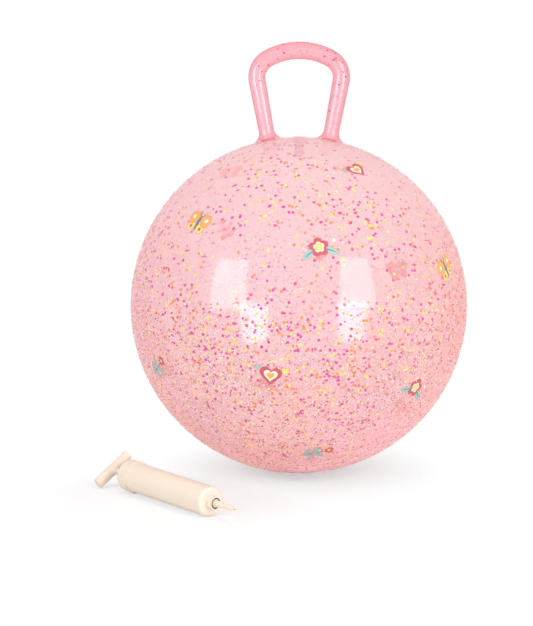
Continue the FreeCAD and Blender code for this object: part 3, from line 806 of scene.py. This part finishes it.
large_out = scattered(LARGE_COUNT, spare_share=0.5, fullest=-0.1, seed=11, thin_places=ALL_PLACES)
large_discs = in_the_wall(large_out, 1.65, 2.1, DISC_THICK)
small_out = scattered(SMALL_COUNT, spare_share=0.12, fullest=-0.5, seed=13, thin_places=ALL_PLACES)
small_discs = in_the_wall(small_out, 0.8, 1.3, GRAIN_THICK)

loose_out = scattered(LOOSE_COUNT, spare_share=0.3, fullest=-0.5, seed=12)
loose_depth = INNER_RADIUS - chance.uniform(*LOOSE_DEPTHS, (len(loose_out), 1)) * MM
loose_discs = discs(CENTRE + loose_out * loose_depth, leaning(loose_out, LOOSE_MOST_LEAN),
                    np.full(len(loose_out), STRAY_RADIUS))

path_centres, path_sideways, path_radii = whole_path(True)
place = chance.integers(1, len(path_centres) - 1, HANDLE_COUNT)
round_bar = chance.uniform(0, 2 * np.pi, (HANDLE_COUNT, 1))
bar_out = np.cos(round_bar) * path_sideways[place] + np.sin(round_bar) * ACROSS_LOOP
bar_discs = discs(path_centres[place] + bar_out * (path_radii[place, None] + HANDLE_DISC_DEPTH),
                  bar_out, np.full(HANDLE_COUNT, STRAY_RADIUS))
all_discs = np.concatenate([large_discs, small_discs, loose_discs, bar_discs])
flake_out = scattered(FLAKE_COUNT, spare_share=0.04, fullest=-0.35, seed=21)
flakes = in_the_wall(flake_out, 0.45, 0.7, GRAIN_THICK, FLAKE_SIDES)
print("confetti discs:", len(all_discs), "and glitter flakes:", len(flakes))

# %% Confetti finishes and pieces
# What a film covers to an eye within
FAR_FILM_SHARE = 0.3
FAR_DARK_SHARE = 0.08
FAR_INK_SHARE = 0.5
FILM_CONTRAST = 2.2
FILM_OFFSET = 0.6
FILM_ROUGHNESS = 0.4
# Each colour's share of the discs and its two tones
CONFETTI = {
    "magenta": (0.44, (0.60, 0.010, 0.27), (0.52, 0.01, 0.19)),
    "orange": (0.27, (0.74, 0.24, 0.03), (0.68, 0.17, 0.02)),
    "yellow": (0.29, (0.88, 0.61, 0.06), (0.90, 0.67, 0.14)),
}


def film_finish(name, first, second, hazy_share=0.0, inward=False):
    """Film whose tone changes a little from disc to disc, solid to an eye outside.

    To an eye within, an inward face covers the hazy share of the view, an outward one nothing.
    """
    finish = Finish(name)
    tone = finish.noise(scale=210.0, detail=0.0)
    colour = finish.blend((tone * FILM_CONTRAST - FILM_OFFSET).clipped(), first, second)
    if inward:
        film = finish.node("BsdfTranslucent", inputs={"Color": colour})
    else:
        film = finish.surface(colour, FILM_ROUGHNESS)
    behind = finish.from_behind()
    from_within = 1 - behind if inward else behind
    return finish.show(finish.mix(from_within * (1 - hazy_share), film, finish.clear()))


def both_films(name, first, second, far_share=FAR_FILM_SHARE):
    """The finishes of a disc's outward and inward faces.

    Light goes to and fro through a film seen from outside, and only once through one seen from
    within, which takes the square root of each colour.
    """
    once = [tuple(math.sqrt(value) for value in colour) for colour in (first, second)]
    return [film_finish(name, first, second),
            film_finish(f"{name}_inward", *once, far_share, inward=True)]


def disc_faces(count, sides=DISC_SIDES):
    """Triangles of so many prisms: two fans and a band of two triangles for each side."""
    here = np.arange(sides)
    after = (here + 1) % sides
    low_here, low_after = here + sides, after + sides
    top, bottom = np.full(sides, 2 * sides), np.full(sides, 2 * sides + 1)
    one = np.concatenate([
        np.stack([top, here, after], 1), np.stack([bottom, low_after, low_here], 1),
        np.stack([here, low_here, low_after], 1), np.stack([here, low_after, after], 1)])
    return (one + np.arange(count)[:, None, None] * (2 * sides + 2)).reshape(-1, 3)


def inward_faces(count, sides=DISC_SIDES):
    """1 for the faces of each prism's lower fan, which is the second of its four rings of faces."""
    return np.tile(np.repeat([0, 1, 0, 0], sides), count)


draw = chance.uniform(size=len(all_discs))
lower = 0.0
for word, (share, first, second) in CONFETTI.items():
    mine = all_discs[(draw >= lower) & (draw < lower + share)]
    lower += share
    confetti = make_piece(f"confetti_{word}", mine.reshape(-1, 3), disc_faces(len(mine)),
                          both_films(f"confetti_{word}", first, second),
                          inward_faces(len(mine)), merge=None)
half = len(flakes) // 2
for word, mine, first, second, far_share in (
        ("dark", flakes[:half], (0.10, 0.10, 0.07), (0.34, 0.30, 0.22), FAR_DARK_SHARE),
        ("pale", flakes[half:], (0.97, 0.90, 0.78), (1.0, 0.96, 0.93), FAR_FILM_SHARE)):
    glitter_flakes = make_piece(f"{word}_glitter_flakes", mine.reshape(-1, 3),
                                disc_faces(len(mine), FLAKE_SIDES),
                                both_films(f"{word}_glitter_flake", first, second, far_share),
                                inward_faces(len(mine), FLAKE_SIDES), merge=None)

# %% [markdown]
# ## Printed motifs
# Plain garden motifs are printed on the skin: a flower, a butterfly, a heart and a sprig. Each
# spot of ink is a closed outline filled from its middle: a point of it is share * outline(angle),
# laid on the ball by adding it, east and north, to the outward direction and bringing the sum
# back to the ball's radius. A larger spot has a dark copy, a little wider and half a layer
# deeper, as its edge. Underneath lies a pink undercoat, which is all that shows of a motif
# through the ball from behind.

# %% Inks and outlines
# Two tones of each ink, for its grain
INKS = {
    "rose": ((0.43, 0.06, 0.10), (0.51, 0.09, 0.14)),
    "ochre": ((0.70, 0.30, 0.07), (0.78, 0.38, 0.10)),
    "sun": ((0.84, 0.53, 0.12), (0.90, 0.61, 0.19)),
    "mint": ((0.25, 0.40, 0.37), (0.31, 0.47, 0.43)),
    "cream": ((0.80, 0.66, 0.46), (0.86, 0.73, 0.55)),
    "teal": ((0.05, 0.15, 0.17), (0.08, 0.21, 0.23)),
    "umber": ((0.34, 0.15, 0.10), (0.42, 0.20, 0.13)),
}
OUTLINE_POINTS = 60
TURN = np.linspace(0, 2 * np.pi, OUTLINE_POINTS, endpoint=False)
INK_STEP = 0.03 * MM
INK_CLEARANCE = 0.2
INK_RINGS = 4
INK_ROUGHNESS = 0.38
INK_ROUGHNESS_SPREAD = 0.15
MOTIF_SCALE = 1.3
# In millimetres: how wide a dark edge is, and from what size on a spot has one
EDGE_WIDTH = 0.42
SMALLEST_EDGED = 2.5
EDGE_LAYERS_DOWN = 0.5
LEAF_FLATNESS = 0.5
PETAL_FLATNESS = 0.7
HEART_RISE = 0.1


def ellipse(wide, high):
    """An oval, by its half width and half height."""
    return wide * np.cos(TURN), high * np.sin(TURN)


def leaf(long, wide):
    """A pointed oval: a full cosine along, and a sine that is pressed flat at both tips across."""
    return long * np.cos(TURN), wide * np.sin(TURN) * np.abs(np.sin(TURN))**LEAF_FLATNESS


def petals(size, count, depth):
    """A flower: a circle that swells and shrinks once for each petal."""
    reach = size * (1 - depth + depth * np.abs(np.cos(TURN * count / 2))**PETAL_FLATNESS)
    return reach * np.cos(TURN), reach * np.sin(TURN)


def heart(size):
    """The usual heart curve, run the other way round, with its middle at the widest place."""
    across = np.sin(TURN)**3
    up = (13 * np.cos(TURN) - 5 * np.cos(2 * TURN) - 2 * np.cos(3 * TURN) - np.cos(4 * TURN)) / 16
    return size * across[::-1], size * (up[::-1] + HEART_RISE)


# Each motif is a list of (ink, layer, outline, place across, place up, turn in degrees), in mm
MOTIFS = {
    "flower": [
        ("mint", 0, leaf(8.5, 3.2), 10.5, -5.0, -28), ("mint", 0, leaf(8.5, 3.2), -10.5, -5.0, 208),
        ("teal", 1, leaf(6.0, 0.5), 10.0, -4.8, -28), ("teal", 1, leaf(6.0, 0.5), -10.0, -4.8, 208),
        ("rose", 2, petals(9.5, 5, 0.34), 0, 0, 90), ("cream", 3, petals(5.4, 5, 0.30), 0, 0, 90),
        ("sun", 4, ellipse(3.0, 3.0), 0, 0, 0), ("cream", 0, ellipse(1.6, 1.6), 15.5, 4.5, 0),
        ("ochre", 0, ellipse(1.3, 1.3), -15.0, 5.5, 0)],
    "butterfly": [
        ("ochre", 1, petals(7.2, 1, 0.30), 7.8, 4.2, 30),
        ("ochre", 1, petals(7.2, 1, 0.30), -7.8, 4.2, 150),
        ("sun", 0, ellipse(5.4, 4.2), 6.6, -4.8, -35), ("sun", 0, ellipse(5.4, 4.2), -6.6, -4.8, 35),
        ("cream", 2, ellipse(2.6, 2.0), 9.4, 5.0, 30), ("cream", 2, ellipse(2.6, 2.0), -9.4, 5.0, -30),
        ("rose", 2, ellipse(1.7, 1.7), 6.8, -5.0, 0), ("rose", 2, ellipse(1.7, 1.7), -6.8, -5.0, 0),
        ("teal", 3, leaf(8.2, 1.7), 0, 0, 90), ("teal", 3, leaf(4.0, 0.45), 2.4, 10.0, 62),
        ("teal", 3, leaf(4.0, 0.45), -2.4, 10.0, 118)],
    "heart": [
        ("rose", 0, heart(10.5), 0, 0, 0), ("cream", 1, heart(6.6), 0, 0.2, 0),
        ("ochre", 2, heart(3.4), 0, 0.3, 0), ("sun", 0, heart(3.6), 13.2, 6.4, -18),
        ("mint", 0, heart(3.0), -12.8, 6.8, 16)],
    "sprig": [
        ("teal", 0, leaf(16.0, 0.7), 0, 0, 24), ("mint", 1, leaf(6.2, 2.5), -7.5, 1.2, 80),
        ("mint", 1, leaf(6.2, 2.5), 0.5, 5.6, 86), ("mint", 1, leaf(6.2, 2.5), -3.0, -6.4, -44),
        ("mint", 1, leaf(6.2, 2.5), 5.6, -2.8, -36), ("rose", 1, petals(4.6, 5, 0.34), 13.5, 6.4, 20),
        ("sun", 2, ellipse(1.7, 1.7), 13.5, 6.4, 0), ("ochre", 1, ellipse(2.0, 2.0), 9.6, 9.8, 0)],
}

# Motif, azimuth and elevation on the ball, and turn, in degrees
PRINTS = [
    ("butterfly", -42, 33, -14), ("flower", 7, 26, 10), ("heart", -9, -15, -8),
    ("flower", 45, -22, -24), ("butterfly", 60, 16, 20), ("sprig", -57, -17, 12),
    ("heart", 36, 56, 22), ("sprig", 8, -49, -6), ("flower", 100, 24, 16),
    ("butterfly", 140, 7, -18), ("heart", 172, 12, 6), ("sprig", -150, 22, 30),
    ("flower", -112, -26, -12), ("heart", -98, 28, 14), ("butterfly", 118, -44, 8),
    ("sprig", 150, 52, -22), ("flower", -165, -38, 20), ("butterfly", -138, 50, -10),
    ("sprig", 88, -10, 40),
]
print("motifs:", ", ".join(MOTIFS), "in", len(PRINTS), "places")


# %% Laying ink on the ball
def turned_by(pairs, angle):
    """Flat points turned about the origin by an angle in degrees."""
    cosine, sine = math.cos(math.radians(angle)), math.sin(math.radians(angle))
    return pairs @ np.array([[cosine, sine], [-sine, cosine]])


def ink_spot(flat, layer, azimuth, elevation):
    """A thin closed patch on the sphere: shares 0 to 1 of an outline above, then back below."""
    middle = flat.mean(axis=0)
    share = np.linspace(0, 1, INK_RINGS)[:, None, None]
    flat = (middle + share * (flat - middle)) * MM
    out = outward(azimuth, elevation)
    east = outward(azimuth + 90, 0)
    north = np.cross(out, east)
    direction = unit(out * BALL_RADIUS + flat[..., :1] * east + flat[..., 1:] * north)
    above = CENTRE + direction * (BALL_RADIUS + INK_STEP * (layer + 1))
    below = (CENTRE + direction * (BALL_RADIUS + INK_STEP * INK_CLEARANCE))[::-1]
    return np.concatenate([above, below])


def ink_finish(name, first, second):
    """Screen-printed ink: nearly even, with a faint grain and a satin face."""
    finish = Finish(name)
    grain = finish.noise(scale=900.0, detail=1.0) * 0.5 + finish.noise(scale=60.0) * 0.5
    colour = finish.blend(grain, first, second)
    ink = finish.surface(colour, INK_ROUGHNESS + INK_ROUGHNESS_SPREAD * grain)
    return finish.show(finish.mix(finish.from_behind(), ink, finish.clear()))


spots = {ink: [] for ink in INKS}
for motif, azimuth, elevation, motif_turn in PRINTS:
    for ink, layer, outline, beside, up, spot_turn in MOTIFS[motif]:
        flat = np.stack(outline, axis=-1)
        reach = np.linalg.norm(flat, axis=-1).max()
        versions = [(ink, layer, 1.0)]
        if reach > SMALLEST_EDGED:
            versions.append(("umber", layer - EDGE_LAYERS_DOWN, 1 + EDGE_WIDTH / reach))
        for version_ink, version_layer, growth in versions:
            placed = turned_by(flat * growth, spot_turn) + np.array([beside, up])
            spots[version_ink].append(ink_spot(turned_by(placed * MOTIF_SCALE, motif_turn),
                                               version_layer, azimuth, elevation))
UNDERCOAT = film_finish("ink_undercoat", (1.0, 0.40, 0.38), (1.0, 0.47, 0.44),
                        FAR_INK_SHARE, inward=True)
for ink, grids in spots.items():
    rows = len(grids[0])
    one = grid_faces(rows, OUTLINE_POINTS)[:, ::-1]
    faces = np.concatenate([one + index * rows * OUTLINE_POINTS for index in range(len(grids))])
    underneath = np.tile(np.arange(len(one)) // OUTLINE_POINTS >= rows // 2, len(grids))
    printed = make_piece(f"print_{ink}", np.concatenate(grids).reshape(-1, 3), faces,
                         [ink_finish(f"ink_{ink}", *INKS[ink]), UNDERCOAT], underneath)

# %% [markdown]
# ## The pump and the valve
# The pump is moulded in cream plastic with a fine grain. Its parts and the valve's come from
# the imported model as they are, and only get a finish: the grain is a shallow bump, and gloss
# and tone drift a little, as those of moulded plastic do.

# %% Finishes for the rigid parts
GLOSS_DRIFT = 0.12
GLOSS_GRAIN = 0.06
GRAIN_HEIGHT = 0.05 * MM
FLANGE_DEPTH = 0.4 * MM
SLEEVE_DEPTH = 2.5 * MM
SEAT_ROUGHNESS = 0.3
SEAT_ROUGHNESS_SPREAD = 0.2
BRUSHED_SHADE = 0.85
BRUSHED_GLOSS_SPREAD = 0.2


def moulded_plastic(name, first, second, roughness, grain=0.02):
    """Plastic or rubber from a mould: two close tones, an uneven gloss and a fine grain."""
    finish = Finish(name)
    tone = finish.noise(scale=18.0, detail=3.0)
    fine = finish.noise(scale=1400.0)
    return finish.show(finish.surface(
        finish.blend(tone, first, second),
        roughness + GLOSS_DRIFT * (tone - 0.5) + GLOSS_GRAIN * (fine - 0.5),
        Normal=finish.bump(fine, grain, GRAIN_HEIGHT)))


def seat_vinyl(name, flange, sleeve):
    """Soft vinyl, pink as the skin in the flange on top and grey in the sleeve that hangs inside."""
    finish = Finish(name)
    height = finish.parts("SeparateXYZ", finish.place())[2]
    inside = finish.node("MapRange", inputs={
        "Value": height, "From Min": CROWN - FLANGE_DEPTH, "From Max": CROWN - SLEEVE_DEPTH})
    tone = finish.noise(scale=60.0, detail=3.0)
    return finish.show(finish.surface(
        finish.blend(inside, flange, sleeve), SEAT_ROUGHNESS + SEAT_ROUGHNESS_SPREAD * tone,
        Normal=finish.bump(tone, strength=0.05, distance=0.1 * MM)))


def metal(name, colour, roughness):
    """Plated steel with fine scratches, which change its shade and its gloss."""
    finish = Finish(name)
    brushed = finish.noise(scale=700.0, detail=3.0)
    shade = tuple(BRUSHED_SHADE * part for part in colour)
    return finish.show(finish.surface(
        finish.blend(brushed, colour, shade),
        roughness + BRUSHED_GLOSS_SPREAD * (brushed - 0.5), Metallic=1.0))


CREAM = moulded_plastic("cream_plastic", (0.75, 0.64, 0.53), (0.78, 0.67, 0.56), roughness=0.42)
FITTING = moulded_plastic("fitting_plastic", (0.77, 0.64, 0.50), (0.80, 0.675, 0.55),
                          roughness=0.36)
SEAL = moulded_plastic("seal_rubber", (0.055, 0.04, 0.035), (0.09, 0.07, 0.06), roughness=0.6,
                       grain=0.15)
SOFT_SEAT = seat_vinyl("valve_seat_vinyl", flange=(0.90, 0.60, 0.61), sleeve=(0.66, 0.56, 0.57))
PLUG = moulded_plastic("valve_plug_plastic", (0.78, 0.42, 0.44), (0.83, 0.49, 0.50), roughness=0.5)
STEEL = metal("screw_steel", (0.62, 0.61, 0.60), roughness=0.3)

FINISHED_NODES = {
    CREAM: ["pump_barrel", "pump_end_cap", "pump_grip", "pump_rod"],
    FITTING: ["rod_guide", "piston_head", "valve_cage", "nozzle"],
    SEAL: ["piston_seal", "check_valve_disc", "nozzle_washer"],
    STEEL: ["piston_screw"], SOFT_SEAT: ["valve_seat"], PLUG: ["valve_plug"],
}
for material, nodes in FINISHED_NODES.items():
    for node in nodes:
        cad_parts[node].data.materials.clear()
        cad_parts[node].data.materials.append(material)
    print(material.name, "on", ", ".join(nodes))
